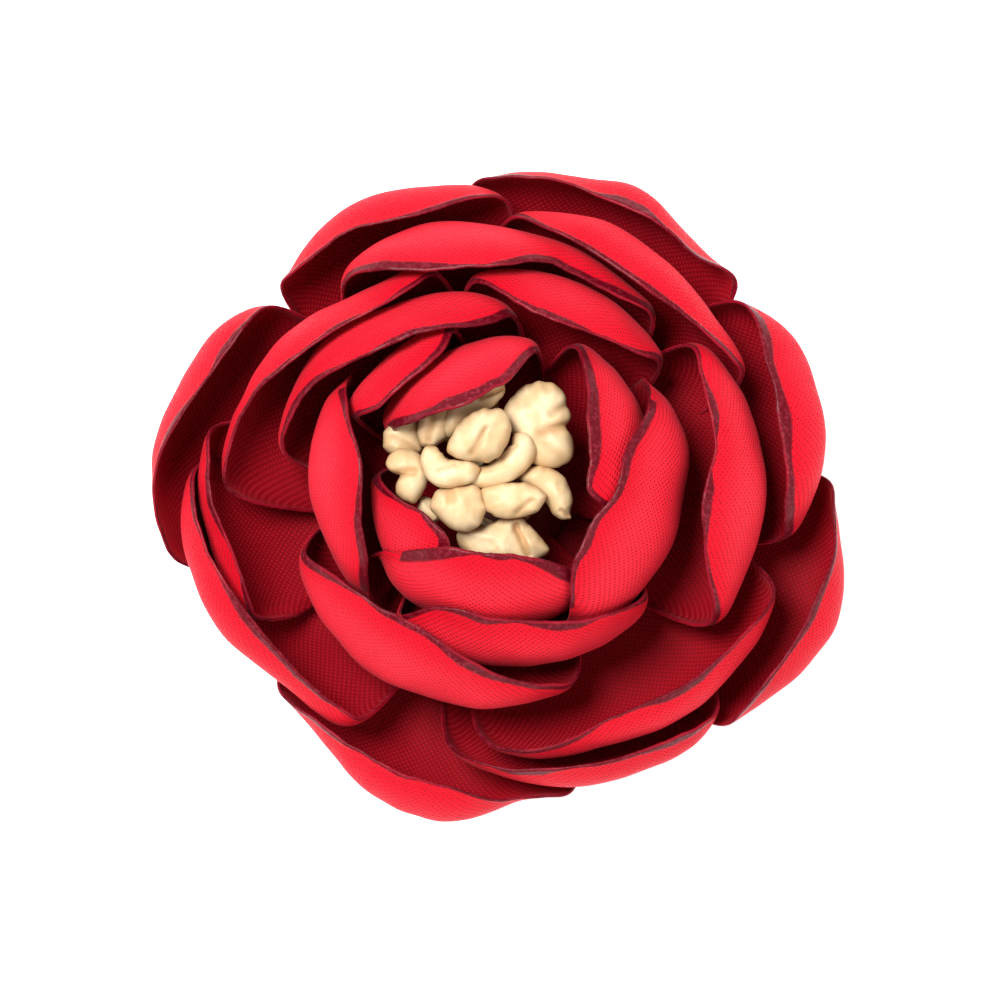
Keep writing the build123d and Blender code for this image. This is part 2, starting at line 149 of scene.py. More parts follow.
def thickSheet(name, points, half, outward):
    # A closed sheet over a grid of points: both faces and a strip round the edge.
    columns, rows = points.shape[:2]
    count = columns * rows
    out = normals(points)
    out = out * np.sign((out * outward).sum(-1, keepdims=True))
    upper = (points + out * half[..., None]).reshape(-1, 3)
    lower = (points - out * half[..., None]).reshape(-1, 3)
    middle = columns // 2, rows // 2
    du = points[middle[0] + 1, middle[1]] - points[middle]
    dv = points[middle[0], middle[1] + 1] - points[middle]
    ccw = np.dot(np.cross(du, dv), out[middle]) > 0
    index = np.arange(count).reshape(columns, rows)
    loop = np.concatenate([index[:, 0], index[-1, 1:], index[-2::-1, -1], index[0, -2:0:-1]])
    after = np.roll(loop, -1)
    strip = np.stack([loop, loop + count, after + count, after], axis=1)
    faces = [gridFaces(columns, rows, 0, not ccw), gridFaces(columns, rows, count, ccw),
             strip if ccw else strip[:, ::-1]]
    return newMesh(name, np.concatenate([upper, lower]), np.concatenate(faces))


cloth = {
    "cupHeight": 12 * mm,        # the point that every petal wraps around
    "columns": 121,
    "rows": 73,
    "thickness": 0.26 * mm,
    "rimBead": 0.38 * mm,        # thickness of the melted edge
    "beadWidth": 0.35 * mm,
    "beadLumps": 0.3,            # how uneven the melted edge is
    "blunt": 0.10 * mm,          # how far in from the edge the cloth is thinned
    "trim": 0.1 * mm,            # how much shorter the cloth is than the frame's petal
    "longWander": 0.13 * mm,     # how unevenly the edge was cut, at three lengths
    "shortWander": 0.025 * mm,
    "nickWander": 0.010 * mm,
    "softFold": 0.13 * mm,       # height of the slow waves in the cloth
    "crinkle": 0.0195 * mm,      # height of the quicker ones
    "pucker": 0.02 * mm,         # height of the small waves along the edge
    "puckerReach": 1.6 * mm,
    "turnReach": 0.8 * mm,       # how far in from the rim an edge turns out
    "endTuck": 0.32 * mm,        # how far the sides lie in on the petal inside
    "sealWidth": 0.68 * mm,      # width of the darkened band along the edge
    "sealDepth": 2.0 * mm,       # how far down a petal's sides the band reaches
    "leastSide": 10.2 * mm,      # the smallest flat side that is given for a petal
}

# Each kind of unevenness has its own wave: a number for its seed, and a length.
waves = {
    "longWander": (1, 11 * mm),
    "shortWander": (2, 3.2 * mm),
    "nickWander": (9, 1.1 * mm),
    "softFold": (3, 11 * mm),
    "crinkle": (4, 4.0 * mm),
    "pucker": (5, 2.2 * mm),
    "beadLumps": (6, 0.9 * mm),
    "sealWidth": (7, 9 * mm),
}

# How closely the frame's petals are read, and how often each reading is smoothed.
reading = {
    "step": math.radians(3),     # between the first rays that look for the petal
    "first": math.radians(-2),
    "lowest": math.radians(-60),
    "halvings": 13,
    "solid": 3 * mm,             # the most that a petal can be thick along a ray
    "footPasses": 16,
    "rimPasses": 22,
    "roundPasses": 26,
    "upPasses": 5,
    "crowding": 0.85,            # below 1, rows lie closer together towards the rim
}

# What differs from petal to petal: the dark band's width, how far the edge turns out and
# how much further it reaches, in mm, and the strength of the folds.
petalLooks = {
    "bud_petal_upper": {"seal": 1.5, "turn": 0.1, "raise": 0.6},
    "bud_petal_core": {"seal": 1.4},
    "bud_petal_lower": {"seal": 1.3},
    "bud_petal_right": {"seal": 1.9, "turn": 0.1},
    "bud_petal_left": {"seal": 1.2},
    "outer_petal_right": {"seal": 1.8, "turn": -0.1},
    "bud_petal_outer_right": {"seal": 1.2},
    "middle_petal_top": {"seal": 1.2, "fold": 1.2},
    "middle_petal_upper_left": {"seal": 0.7},
    "outer_petal_top_right": {"seal": 1.2},
}


def treeOf(node):
    mesh = nodes[node].data
    points = [v.co for v in mesh.vertices]
    return BVHTree.FromPolygons(points, [tuple(p.vertices) for p in mesh.polygons])


def rayHits(tree, bearing, level):
    # First and last distance from the cup's centre at which the petal is met.
    centre = Vector((0, 0, cloth["cupHeight"]))
    across = math.cos(level)
    way = Vector((across * math.cos(bearing), across * math.sin(bearing), math.sin(level)))
    place, _, _, near = tree.ray_cast(centre, way)
    if place is None:
        return None
    far = near
    while place is not None:
        far = (place - centre).length
        place, _, _, _ = tree.ray_cast(place + way * 0.01 * mm, way)
    return near, far


def bearingSpan(node):
    points = np.array([v.co for v in nodes[node].data.vertices])
    angles = np.arctan2(points[:, 1], points[:, 0])
    middle = math.atan2(np.sin(angles).mean(), np.cos(angles).mean())
    turned = (angles - middle + math.pi) % (2 * math.pi) - math.pi
    return middle + turned.min() + 0.002, middle + turned.max() - 0.002


def edgeLevel(tree, bearing, inside, outside):
    # Elevation of the petal's edge between one that hits and one that misses.
    for _ in range(reading["halvings"]):
        middle = (inside + outside) / 2
        if rayHits(tree, bearing, middle):
            inside = middle
        else:
            outside = middle
    return inside


def startLevel(tree, bearing):
    for level in np.arange(reading["first"], reading["lowest"], -reading["step"]):
        if rayHits(tree, bearing, level):
            return level
    return None


def readPetal(node):
    # The petal's middle surface as distances from the cup's centre on a grid of directions.
    tree = treeOf(node)
    first, last = bearingSpan(node)
    bearings = np.linspace(first, last, cloth["columns"])
    lows, highs, kept = [], [], []
    for bearing in bearings:
        start = startLevel(tree, bearing)
        if start is None:
            continue
        lows.append(edgeLevel(tree, bearing, start, math.radians(-89)))
        highs.append(edgeLevel(tree, bearing, start, math.radians(88)))
        kept.append(bearing)
    lows = blurred(np.interp(bearings, kept, lows), reading["footPasses"])
    highs = np.interp(bearings, kept, highs)
    ends = highs[0], highs[-1]
    highs = blurred(highs, reading["rimPasses"])
    highs[0], highs[-1] = ends
    shares = np.linspace(0, 1, cloth["rows"]) ** reading["crowding"]
    distance = np.zeros((len(bearings), len(shares)))
    for i, bearing in enumerate(bearings):
        levels = lows[i] + (highs[i] - lows[i]) * shares
        known = []
        for j, level in enumerate(levels):
            hit = rayHits(tree, bearing, level)
            if hit and hit[1] - hit[0] < reading["solid"]:
                distance[i, j] = sum(hit) / 2
                known.append(j)
        distance[i] = np.interp(range(len(shares)), known, distance[i, known])
    distance = blurred(distance, reading["roundPasses"], 0)
    distance = blurred(distance, reading["upPasses"], 1)
    return bearings, lows, highs, shares, distance


def onSphere(bearings, levels, distance):
    across = distance * np.cos(levels)
    x = across * np.cos(bearings)
    y = across * np.sin(bearings)
    z = cloth["cupHeight"] + distance * np.sin(levels)
    return np.stack([x, y, z], axis=-1)


def gapTo(points, line):
    fine = np.concatenate([line[:-1] + (line[1:] - line[:-1]) * t for t in (0, 0.25, 0.5, 0.75)])
    gaps = [np.linalg.norm(fine - p, axis=1).min() for p in points.reshape(-1, 3)]
    return np.array(gaps).reshape(points.shape[:2])


def unevenness(kind, index, x, y):
    number, length = waves[kind]
    return Wave(index * 7 + number, length).at(x, y)


def rimWander(index, along):
    # How far the edge wanders up and down along the rim.
    wander = 0
    for kind in ("longWander", "shortWander", "nickWander"):
        wander = wander + unevenness(kind, index, along, 0) * cloth[kind]
    return wander


def folds(index, look, side, up, shares, middling):
    # Soft folds through the cloth, slight puckers along its singed edge, and how far it turns.
    toRim = up[:, -1:] - up
    free = smoothStep(0.2, 0.75, shares)[None, :] * (0.55 + 0.45 * middling[:, None])
    soft = unevenness("softFold", index, side, up) * cloth["softFold"] * look["fold"]
    crinkle = unevenness("crinkle", index, side, up * 0.6) * cloth["crinkle"]
    nearRim = np.exp(-toRim / cloth["puckerReach"])
    pucker = unevenness("pucker", index, side, up * 0.25) * cloth["pucker"] * nearRim
    turn = look["turn"] * mm * np.exp(-toRim / cloth["turnReach"])
    return (soft + crinkle) * free + pucker + turn


def clothThickness(index, side, up, rimGap, edgeGap):
    # Thin cloth that thickens into a bead where the edge has melted.
    bead = 1 - smoothStep(0, cloth["beadWidth"], rimGap)
    lumps = 1 + cloth["beadLumps"] * unevenness("beadLumps", index, side, up)
    thick = cloth["thickness"] + (cloth["rimBead"] - cloth["thickness"]) * bead * lumps
    return thick * np.sqrt(np.clip(edgeGap / cloth["blunt"], 0.2, 1))


def bandWidth(index, look, along, height):
    # The band's width changes slowly, and it fades where the edge turns down at the sides.
    columns = len(height)
    tenth = columns // 10
    level = height[np.clip(np.arange(columns), tenth, columns - 1 - tenth)]
    fade = 1 - smoothStep(0.2, 1.0, (level - height) / cloth["sealDepth"])
    slow = 0.85 + 0.35 * unevenness("sealWidth", index, along, 0)
    return look["seal"] * cloth["sealWidth"] * fade * np.clip(slow, 0.3, 1.5)


def makePetal(node, index):
    look = {"seal": 1.0, "turn": 0.0, "fold": 1.0, "raise": 0.0, **petalLooks.get(node, {})}
    bearings, lows, highs, shares, distance = readPetal(node)
    columns, rows = distance.shape
    sideways = np.abs(np.linspace(-1, 1, columns))
    middling = 1 - sideways ** 8
    reach = np.mean(distance[:, -1])
    along = bearings * reach
    taller = look["raise"] * mm - cloth["trim"]
    highs = highs + (rimWander(index, along) * middling + taller) / reach
    levels = lows[:, None] + (highs - lows)[:, None] * shares
    grid = np.repeat(bearings[:, None], rows, axis=1)

    rest = onSphere(grid, levels, distance)
    up = arcLengths(rest, 1)
    toRim = up[:, -1:] - up
    side = (grid - grid[columns // 2]) * distance * np.cos(levels)
    rimGap = gapTo(rest, rest[:, -1])
    edgeGap = np.minimum(rimGap, gapTo(rest, np.concatenate([rest[0], rest[-1][::-1]])))

    tuck = cloth["endTuck"] * smoothStep(0.72, 1.0, sideways)[:, None]
    distance = distance + folds(index, look, side, up, shares, middling)
    distance = distance - tuck * smoothStep(0.3, 0.8, shares)[None, :]
    points = onSphere(grid, levels, distance)
    away = points - np.array([0, 0, cloth["cupHeight"]])
    half = clothThickness(index, side, up, rimGap, edgeGap) / 2
    piece = thickSheet(node.replace("petal", "cloth"), points, half, away)

    wide = bandWidth(index, look, along, rest[:, -1, 2])[:, None] * np.ones_like(rimGap)
    # How deep into the cup each point lies and how far below the rim, which the material turns into
    # painted highlight and painted shade.
    depth = np.maximum(toRim, 0.8 * (rest[:, -1, 2].max() - rest[..., 2]))
    numbers = {"rimGap": rimGap, "sealWide": np.maximum(wide, 0.05 * mm), "across": side,
               "along": up, "depth": depth, "below": toRim}
    for name, values in numbers.items():
        addNumbers(piece, name, np.tile(values.ravel() / mm, 2))
    addNumbers(piece, "inside", np.repeat([0, 1], columns * rows))

    span = max((side[-1] - side[0]).max(), cloth["leastSide"])
    tall = max(np.median(up[:, -1]), cloth["leastSide"])
    corner = points[:-1, :-1]
    cells = np.linalg.norm(np.cross(points[1:, :-1] - corner, points[:-1, 1:] - corner), axis=-1)
    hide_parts(node)
    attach(piece, flowerBody)
    min(cells.sum(), span * tall)
    return piece


class Value:
    # One output of a node tree, with arithmetic that adds Math nodes.
    def __init__(self, shader, socket):
        self.shader = shader
        self.socket = socket

    def math(self, operation, *others):
        return self.shader.node("ShaderNodeMath", {"operation": operation}, [self, *others])

    def __add__(self, other):
        return self.math("ADD", other)

    def __radd__(self, other):
        return self.math("ADD", other)

    def __sub__(self, other):
        return self.math("SUBTRACT", other)

    def __rsub__(self, other):
        return self.shader.node("ShaderNodeMath", {"operation": "SUBTRACT"}, [other, self])

    def __mul__(self, other):
        return self.math("MULTIPLY", other)

    def __rmul__(self, other):
        return self.math("MULTIPLY", other)

    def __truediv__(self, other):
        return self.math("DIVIDE", other)

    def sin(self):
        return self.math("SINE")

    def abs(self):
        return self.math("ABSOLUTE")

    def step(self, low, high):
        return self.shader.node("ShaderNodeMapRange", {"interpolation_type": "SMOOTHSTEP"},
                                {"Value": self, "From Min": low, "From Max": high})


socketNames = {
    "color": "Base Color", "roughness": "Roughness", "metallic": "Metallic", "normal": "Normal",
    "coat": "Coat Weight", "coatRoughness": "Coat Roughness", "sheen": "Sheen Weight",
    "sheenRoughness": "Sheen Roughness", "sheenTint": "Sheen Tint",
    "specular": "Specular IOR Level", "subsurface": "Subsurface Weight",
    "scatter": "Subsurface Scale", "emission": "Emission Color", "glow": "Emission Strength",
}


class Shader:
    def __init__(self, name):
        self.material = bpy.data.materials.new(name)
        self.material.use_nodes = True
        self.tree = self.material.node_tree
        self.bsdf = self.tree.nodes["Principled BSDF"]

    def put(self, socket, value):
        if isinstance(value, Value):
            self.tree.links.new(value.socket, socket)
        elif hasattr(value, "__len__") and socket.type == "RGBA" and len(value) == 3:
            socket.default_value = (*value, 1)
        else:
            socket.default_value = value

    def node(self, kind, settings=None, inputs=None, output=0):
        made = self.tree.nodes.new(kind)
        for name, value in (settings or {}).items():
            setattr(made, name, value)
        pairs = inputs.items() if isinstance(inputs, dict) else enumerate(inputs or [])
        for key, value in pairs:
            self.put(made.inputs[key], value)
        return Value(self, made.outputs[output])

    def number(self, name):
        return self.node("ShaderNodeAttribute", {"attribute_name": name}, output="Fac")

    def place(self):
        return self.node("ShaderNodeTexCoord", output="Object")

    def noise(self, scale, detail=2, rough=0.5, vector=None):
        return self.node("ShaderNodeTexNoise", {}, {"Vector": vector or self.place(), "Scale": scale,
                                                    "Detail": detail, "Roughness": rough})

    def mix(self, factor, a, b):
        return self.node("ShaderNodeMix", {"data_type": "RGBA"}, {0: factor, 6: a, 7: b}, 2)

    def bump(self, height, strength, distance):
        return self.node("ShaderNodeBump", {}, {"Height": height, "Strength": strength,
                                                "Distance": distance})

    def set(self, **values):
        for name, value in values.items():
            self.put(self.bsdf.inputs[socketNames[name]], value)
        return self.material


satin = {
    "weavePitch": 0.50,          # mm between holes along one row
    "wobble": 0.14,              # how uneven the threads lie, in mm
    "crown": (0.6, 4.2),         # mm below the rim where a painted highlight brightens the outside
    "foot": (6.5, 13.0),         # mm below the rim where painted shade darkens the outside again
    "hollow": (0.5, 6.5),        # mm below the rim where painted shade darkens the inside
    "cloth": (0.66, 0.0025, 0.015),
    # the crown colour is a painted highlight
    "crownHighlight": (0.84, 0.020, 0.040),
    # the deep colour is painted shade on the inside
    "deep": (0.15, 0.0005, 0.004),
    "hole": (0.25, 0.0008, 0.006),
    "speck": (0.60, 0.006, 0.022),
    # painted shade low on the outside
    "footShade": (0.45, 0.0015, 0.010),
    "seal": (0.105, 0.0008, 0.006),
    # paler specks in the band: partly the melted cloth's mottling, partly painted glints
    "sealSpeckAndGlint": (0.20, 0.012, 0.026),
    # a painted highlight along the melted edge
    "rim": (0.24, 0.004, 0.014),
    "sheen": (1.0, 0.30, 0.36),
}


def petalMaterial():
    s = Shader("petalCloth")
    turn = 2 * math.pi / satin["weavePitch"]
    wobble = s.noise(300, 2) * satin["wobble"]
    warp = ((s.number("across") + wobble) * turn).sin()
    weft = ((s.number("along") + wobble) * turn).sin()
    hole = (warp * weft).step(0.12, 0.70)
    fine = s.noise(2600, 3, 0.6)
    slow = s.noise(190, 2)
    tone = s.noise(110, 2)

    # Painted highlight brightens the outside below the rim and painted shade darkens it further down;
    # painted shade darkens the whole inside, more so deeper into the cup.
    below = s.number("below")
    crown = below.step(*satin["crown"]) * (0.45 + tone * 0.75)
    outer = s.mix(crown, satin["cloth"], satin["crownHighlight"])
    # Painted shade further down the outside.
    outer = s.mix(below.step(*satin["foot"]) * 0.8, outer, satin["footShade"])
    outer = s.mix(hole * (0.10 + fine * 1.05), outer, satin["hole"])
    # Painted shade on the whole inside, darker deeper into the cup.
    shade = s.number("depth").step(*satin["hollow"])
    inner = s.mix(0.30 + shade * 0.62, satin["cloth"], satin["deep"])
    inner = s.mix(hole * 0.35, inner, satin["speck"])
    base = s.mix(s.number("inside"), outer, inner)

    # The dark, partly melted band along the cut edge, with paler specks that are partly its mottling
    # and partly painted glints, and a painted highlight line along the very edge.
    gap = s.number("rimGap")
    width = s.number("sealWide") * (0.62 + slow * 0.5) + (fine - 0.5) * 0.22
    seal = 1 - (gap / width).step(0.80, 1.08)
    # Painted highlight line along the very edge.
    lipHighlight = 1 - gap.step(0.05, 0.20)
    meltedAndGlints = s.mix(fine.step(0.50, 0.62) * (0.15 + slow * 1.1), satin["seal"], satin["sealSpeckAndGlint"])
    meltedAndGlints = s.mix(lipHighlight * slow.step(0.4, 0.65), meltedAndGlints, satin["rim"])
    colour = s.mix(seal, base, meltedAndGlints)

    threads = warp.abs() * 0.25 + hole * -1.0 + fine * 0.15
    weave = s.bump(threads * (1 - seal) + fine * seal * 1.6, 0.65, 0.1 * mm)
    rough = 0.55 - seal * 0.22 + fine * 0.10
    return s.set(color=colour, roughness=rough, normal=weave, sheen=0.10, sheenRoughness=0.35,
                 sheenTint=satin["sheen"], coat=seal * 0.08, coatRoughness=0.20, specular=0.10)


petalCloth = petalMaterial()
for number, name in enumerate(petalNames):
    made = makePetal(name, number)
    made.data.materials.append(petalCloth)
print("petals made", len(petalNames))


# Stamen heads seen from above, in mm. "outline" goes round a head, and "spine" runs along it
# as (x, y, half width). "top" and "bottom" are heights, and "folds" are creases from one
# point to another with a width and a depth.
beads = {
    "stamen_head_01": {"top": 22.9, "bottom": 19.0, "middle": (3.42, 5.2), "outline": [
        (0.5, 6.8), (1.2, 7.7), (2.0, 8.4), (3.2, 8.8), (4.3, 8.7), (5.0, 8.1), (5.45, 7.5),
        (5.22, 6.95), (5.7, 6.4), (5.9, 5.8), (5.38, 5.5), (5.3, 5.1), (5.8, 4.5), (6.05, 3.6),
        (5.8, 2.7), (5.1, 2.2), (4.2, 1.9), (3.2, 2.05), (2.4, 2.5), (1.9, 3.6), (1.2, 4.6),
        (0.5, 5.6)],
        "folds": [((5.4, 5.4), (3.4, 4.6), 0.55, 0.35), ((5.3, 6.9), (4.2, 6.2), 0.35, 0.18),
                  ((5.0, 2.6), (3.2, 4.2), 0.5, 0.15)]},
    "stamen_head_02": {"top": 22.6, "bottom": 19.6, "spine": [
        (-4.4, 4.3, 0.55), (-4.0, 5.3, 0.95), (-3.0, 6.7, 1.2), (-1.6, 7.6, 1.15),
        (-0.3, 8.3, 0.85), (0.35, 8.6, 0.6)],
        "folds": [((-1.6, 7.6), (0.3, 8.35), 0.22, 0.45)]},
    "stamen_head_03": {"top": 25.7, "bottom": 22.0, "middle": (-1.75, 4.55), "outline": [
        (-4.3, 3.2), (-4.1, 4.1), (-3.4, 5.3), (-2.4, 6.15), (-1.3, 6.65), (-0.85, 6.45),
        (-0.15, 6.65), (0.5, 6.15), (0.8, 5.1), (0.6, 3.9), (-0.05, 2.9), (-1.2, 2.3),
        (-1.75, 2.5), (-2.4, 2.45), (-3.3, 2.6)],
        "folds": [((-1.1, 5.0), (-2.3, 3.0), 0.30, 0.30), ((0.3, 5.9), (-0.6, 4.8), 0.4, 0.12)]},
    "stamen_head_04": {"top": 22.4, "bottom": 19.4, "middle": (-5.3, 5.2), "outline": [
        (-6.6, 6.2), (-5.6, 7.1), (-4.1, 7.2), (-4.0, 5.7), (-4.4, 4.3), (-5.4, 3.6),
        (-6.4, 3.7), (-6.8, 4.7)],
        "folds": [((-5.6, 6.2), (-5.9, 4.2), 0.35, 0.3)]},
    "stamen_head_05": {"top": 20.9, "bottom": 18.0, "middle": (-8.0, 4.3), "outline": [
        (-9.6, 4.8), (-8.5, 5.9), (-7.0, 6.1), (-6.5, 4.6), (-6.5, 3.2), (-7.6, 2.9),
        (-8.8, 2.9), (-9.6, 3.5)],
        "folds": [((-8.9, 4.3), (-7.0, 3.4), 0.4, 0.2)]},
    "stamen_head_06": {"top": 23.0, "bottom": 20.2, "middle": (-7.2, 1.35), "outline": [
        (-9.05, 2.9), (-8.3, 3.3), (-7.3, 3.25), (-6.5, 2.75), (-6.15, 2.2), (-5.98, 1.3),
        (-6.15, 0.35), (-6.6, -0.5), (-7.1, -1.05), (-7.9, -0.8), (-8.5, -0.2), (-8.55, 0.5),
        (-8.2, 1.15), (-8.25, 1.4), (-9.0, 1.45), (-9.4, 2.1)],
        "folds": [((-8.5, 1.35), (-7.1, 1.5), 0.4, 0.35)]},
    "stamen_head_07": {"top": 24.6, "bottom": 22.4, "spine": [
        (-5.45, 3.65, 0.62), (-5.6, 3.0, 0.85), (-5.4, 2.1, 1.05), (-4.7, 1.4, 1.15),
        (-3.6, 1.35, 1.05), (-2.4, 1.55, 0.9), (-1.6, 1.75, 0.45)],
        "folds": [((-5.0, 1.5), (-3.7, 2.1), 0.22, 0.16)]},
    "stamen_head_08": {"top": 23.6, "bottom": 21.2, "spine": [
        (-3.3, 1.0, 0.45), (-2.2, 1.0, 0.75), (-0.6, 1.15, 0.95), (0.7, 1.9, 1.1),
        (1.65, 2.9, 1.15), (1.7, 3.9, 1.05), (1.15, 4.6, 0.6)],
        "folds": [((0.2, 2.6), (1.2, 3.6), 0.3, 0.2)]},
    "stamen_head_09": {"top": 24.3, "bottom": 20.9, "middle": (-3.5, -1.5), "outline": [
        (-5.55, -0.95), (-5.2, -0.2), (-4.3, 0.25), (-3.0, 0.35), (-2.1, 0.45), (-1.65, -0.1),
        (-1.5, -1.0), (-1.15, -1.45), (-1.35, -2.1), (-1.75, -2.85), (-2.7, -3.4),
        (-3.7, -3.3), (-4.4, -2.85), (-5.2, -2.1), (-5.7, -1.5)],
        "folds": [((-4.2, 0.2), (-4.0, -0.7), 0.5, 0.25)]},
    "stamen_head_10": {"top": 24.0, "bottom": 21.2, "middle": (0.85, -0.85), "outline": [
        (-1.4, -0.6), (-1.5, 0.05), (0.0, 0.45), (1.9, 0.55), (2.5, 0.35), (3.1, 0.15),
        (3.72, -0.45), (3.4, -1.05), (3.0, -1.8), (1.9, -2.15), (0.6, -2.35), (-0.35, -2.15),
        (-1.1, -1.6)],
        "folds": [((2.6, -0.9), (1.4, -1.9), 0.3, 0.22)]},
    "stamen_head_11": {"top": 22.4, "bottom": 19.8, "spine": [
        (1.5, 1.1, 0.6), (2.9, 1.05, 1.0), (4.1, 0.45, 1.2), (4.85, -0.6, 1.1),
        (5.15, -1.6, 0.8), (5.5, -2.1, 0.5), (5.9, -2.35, 0.2)],
        "folds": [((5.0, -1.7), (5.6, -2.1), 0.2, 0.25)]},
    "stamen_head_12": {"top": 22.0, "bottom": 18.6, "middle": (0.4, -4.2), "outline": [
        (-3.6, -3.4), (-2.0, -3.25), (-0.6, -2.8), (0.4, -2.35), (1.7, -2.4), (2.45, -3.1),
        (3.4, -4.15), (4.1, -5.1), (2.6, -5.9), (0.0, -6.1), (-2.1, -5.6), (-3.2, -4.6)],
        "folds": [((1.35, -2.9), (2.3, -5.4), 0.3, 0.45)]},
    "stamen_head_13": {"top": 20.9, "bottom": 18.6, "spine": [
        (-6.6, -0.6, 0.5), (-6.1, -1.3, 0.8), (-5.4, -2.0, 0.8), (-4.9, -2.5, 0.5)]},
}
beadShape = {
    "rings": 56,
    "around": 112,
    "lump": 0.035,               # share of a head's half height
    "plump": 1.06,               # how much wider each head is than its outline
}


def foldDepth(spec, x, y):
    depth = np.zeros_like(x)
    for (x0, y0), (x1, y1), width, deep in spec.get("folds", []):
        run = np.array([x1 - x0, y1 - y0])
        t = np.clip(((x - x0) * run[0] + (y - y0) * run[1]) / (run @ run), 0, 1)
        gap = np.hypot(x - x0 - t * run[0], y - y0 - t * run[1])
        depth = np.maximum(depth, deep * np.exp(-(gap / width) ** 2))
    return depth


def outlineRadius(spec, turns):
    # Distance from the head's middle to its outline, rounded a little at the corners.
    edge = np.array(spec["outline"]) - np.array(spec["middle"])
    edge = np.concatenate([edge, edge[:1]])
    fine = np.concatenate([edge[:-1] + (edge[1:] - edge[:-1]) * t for t in np.linspace(0, 0.9, 10)])
    angles = np.arctan2(fine[:, 1], fine[:, 0])
    order = np.argsort(angles)
    radius = np.interp(turns, angles[order], np.hypot(fine[:, 0], fine[:, 1])[order],
                       period=2 * math.pi)
    for _ in range(3):
        radius = (np.roll(radius, 1) + 2 * radius + np.roll(radius, -1)) / 4
    return radius


def smoothPath(points, count):
    # A Catmull-Rom curve through the points.
    points = np.array(points, float)
    padded = np.concatenate([2 * points[:1] - points[1:2], points, 2 * points[-1:] - points[-2:-1]])
    places = []
    for t in np.linspace(0, len(points) - 1.0001, count):
        i = int(t)
        u = t - i
        p0, p1, p2, p3 = padded[i:i + 4]
        places.append(0.5 * (2 * p1 + (p2 - p0) * u + (2 * p0 - 5 * p1 + 4 * p2 - p3) * u ** 2
                             + (3 * p1 - p0 - 3 * p2 + p3) * u ** 3))
    return np.array(places)


def roundHead(spec, middleZ, half, turns):
    # Rings from top to bottom inside a head's outline.
    fall = np.linspace(0.02, math.pi - 0.02, beadShape["rings"])[:, None]
    radius = outlineRadius(spec, turns)[None, :] * beadShape["plump"]
    broad = np.sin(fall) ** 0.9
    x = spec["middle"][0] + broad * radius * np.cos(turns)
    y = spec["middle"][1] + broad * radius * np.sin(turns)
    z = middleZ + half * np.cos(fall) * np.ones_like(turns)
    return x, y, z


def longHead(spec, middleZ, half, turns):
    # Rings along a head's spine that close at both ends.
    line = smoothPath(spec["spine"], beadShape["rings"])
    share = np.linspace(-1, 1, beadShape["rings"])
    closing = np.sqrt(np.clip(1 - np.abs(share) ** 5, 0.0004, 1))
    way = np.gradient(line[:, :2], axis=0)
    way = way / np.linalg.norm(way, axis=1, keepdims=True)
    wide = (line[:, 2] * closing)[:, None] * beadShape["plump"]
    x = line[:, :1] - way[:, 1:] * wide * np.cos(turns)
    y = line[:, 1:2] + way[:, :1] * wide * np.cos(turns)
    z = middleZ + half * np.minimum(1, wide / np.median(line[:, 2])) * np.sin(turns)
    return x, y, z


def closedRings(name, points, rings, around, flip=False):
    # A skin over rings of points, with a flat face at each end.
    index = np.arange(rings * around).reshape(rings, around)
    after = np.roll(index, -1, axis=1)
    faces = np.stack([index[:-1].ravel(), index[1:].ravel(), after[1:].ravel(),
                      after[:-1].ravel()], axis=1)
    faces = (faces[:, ::-1] if flip else faces).tolist()
    faces.append(index[0].tolist())
    faces.append(index[-1, ::-1].tolist())
    return newMesh(name, points, faces)


def makeBead(node, number, material):
    spec = beads[node]
    rings, around = beadShape["rings"], beadShape["around"]
    middleZ = (spec["top"] + spec["bottom"]) / 2
    half = (spec["top"] - spec["bottom"]) / 2
    turns = np.linspace(-math.pi, math.pi, around, endpoint=False)
    shape = roundHead if "outline" in spec else longHead
    x, y, z = shape(spec, middleZ, half, turns)

    # Creases on the upper side, and lumps all over.
    upper = smoothStep(middleZ - 0.2 * half, middleZ + 0.7 * half, z)
    crease = foldDepth(spec, x, y) * upper
    lumps = Wave(500 + number, 2.4, 6).at(x + 0.4 * z, y - 0.4 * z)
    facets = Wave(700 + number, 1.1, 6).at(x, y + 0.5 * z)
    z = z - crease + half * beadShape["lump"] * (lumps * 1.3 + facets * 0.25)
    x = x + 0.03 * lumps
    y = y + 0.02 * facets
    points = np.stack([x, y, z], axis=-1).reshape(-1, 3) * mm
    piece = closedRings(node.replace("stamen_head", "stamenBead"), points, rings, around)
    # How low on the head each point lies and how deep its creases are, which the material turns into
    # painted shade.
    low = 1 - smoothStep(middleZ - 0.2 * half, middleZ + 0.97 * half, z)
    addNumbers(piece, "crease", np.clip(crease * 2.6, 0, 1))
    addNumbers(piece, "low", low)
    piece.data.materials.append(material)
    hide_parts(node)
    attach(piece, flowerBody)
    return piece


plaster = {
    "cream": (0.60, 0.42, 0.22),
    "pale": (0.70, 0.56, 0.35),
    # painted shade on the lower side of each head
    "undersideShade": (0.46, 0.23, 0.08),
    # painted shade in the creases
    "creaseShade": (0.42, 0.19, 0.06),
}


